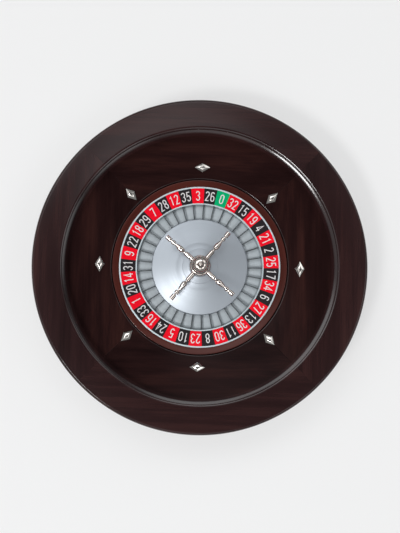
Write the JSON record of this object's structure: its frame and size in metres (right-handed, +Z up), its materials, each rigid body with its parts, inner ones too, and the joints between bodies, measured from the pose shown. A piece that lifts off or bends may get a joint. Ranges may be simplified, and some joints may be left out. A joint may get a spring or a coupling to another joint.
{
  "type": "roulette wheel",
  "caption": "Tabletop roulette wheel: dark wood bowl with undercut ball track and diamond deflectors, and a free-spinning numbered wheel head with pockets, spun cone and four-armed turret.",
  "frame": {"origin": "on the spin axis, level with the table under the rubber feet", "axes": "+Z up along the spin axis, +Y towards the back deflector, with the zero pocket 16.5 degrees clockwise of +Y at rest"},
  "size_m": [0.503, 0.503, 0.1035],
  "materials": {
    "rim_wood": "dark mahogany under gloss lacquer",
    "apron_wood": "dark mahogany under gloss lacquer",
    "board_wood": "plain dark stained board",
    "wheel_wood": "reddish brown, gloss lacquer",
    "foot_rubber": "matt",
    "screw_steel": "plain",
    "bearing_steel": "ground and polished",
    "spindle_steel": "turned",
    "deflector_metal": "polished nickel plate",
    "ring_metal": "polished lips",
    "red_field": "enamel",
    "black_field": "enamel",
    "green_field": "enamel",
    "pocket_metal": "brushed",
    "cone_metal": "satin spun",
    "turret_metal": "warm polished nickel"
  },
  "bodies": {
    "bowl": {"rim_segment_right": "rim_wood", "rim_segment_back": "rim_wood", "rim_segment_left": "rim_wood", "rim_segment_front": "rim_wood", "apron_segment_right": "apron_wood", "apron_segment_back": "apron_wood", "apron_segment_left": "apron_wood", "apron_segment_front": "apron_wood", "base_board": "board_wood", "apron_support_ring": "board_wood", "rubber_feet": "foot_rubber", "rim_screws": "screw_steel", "foot_screws": "screw_steel", "spindle_screws": "screw_steel", "deflector_nuts": "screw_steel", "spindle_nut": "screw_steel", "spindle_washer": "screw_steel", "bearing_spacer": "screw_steel", "lower_bearing_inner_ring": "bearing_steel", "upper_bearing_inner_ring": "bearing_steel", "spindle": "spindle_steel", "deflector_1": "deflector_metal", "deflector_2": "deflector_metal", "deflector_3": "deflector_metal", "deflector_4": "deflector_metal", "deflector_5": "deflector_metal", "deflector_6": "deflector_metal", "deflector_7": "deflector_metal", "deflector_8": "deflector_metal"},
    "wheel_head": {"wheel_disc": "board_wood", "wheel_wood_ring": "wheel_wood", "hub_screws": "screw_steel", "lower_bearing_outer_ring": "bearing_steel", "upper_bearing_outer_ring": "bearing_steel", "hub_sleeve": "spindle_steel", "hub_cap": "spindle_steel", "turret_stud": "spindle_steel", "number_ring": "ring_metal", "red_number_fields": "red_field", "black_number_fields": "black_field", "zero_field": "green_field", "pocket_floor": "pocket_metal", "pocket_frets": "pocket_metal", "wheel_cone": "cone_metal", "turret_base": "turret_metal", "turret_hub": "turret_metal", "turret_finial": "turret_metal", "turret_arm_1": "turret_metal", "turret_arm_2": "turret_metal", "turret_arm_3": "turret_metal", "turret_arm_4": "turret_metal"},
    "lower_cage": {"lower_bearing_cage": "bearing_steel", "lower_bearing_balls": "bearing_steel"},
    "upper_cage": {"upper_bearing_cage": "bearing_steel", "upper_bearing_balls": "bearing_steel"}
  },
  "joints": [
    {"name": "rotor_spin", "type": "hinge", "parent": "bowl", "child": "wheel_head", "pos_m": [0, 0, 0.0335], "axis": [0, 0, 1], "continuous": true},
    {"name": "lower_cage_spin", "type": "hinge", "parent": "bowl", "child": "lower_cage", "pos_m": [0, 0, 0.0275], "axis": [0, 0, 1], "continuous": true},
    {"name": "upper_cage_spin", "type": "hinge", "parent": "bowl", "child": "upper_cage", "pos_m": [0, 0, 0.0395], "axis": [0, 0, 1], "continuous": true}
  ],
  "couplings": [
    {"joint": "lower_cage_spin", "follows": "rotor_spin", "ratio": 0.63},
    {"joint": "upper_cage_spin", "follows": "rotor_spin", "ratio": 0.63}
  ]
}
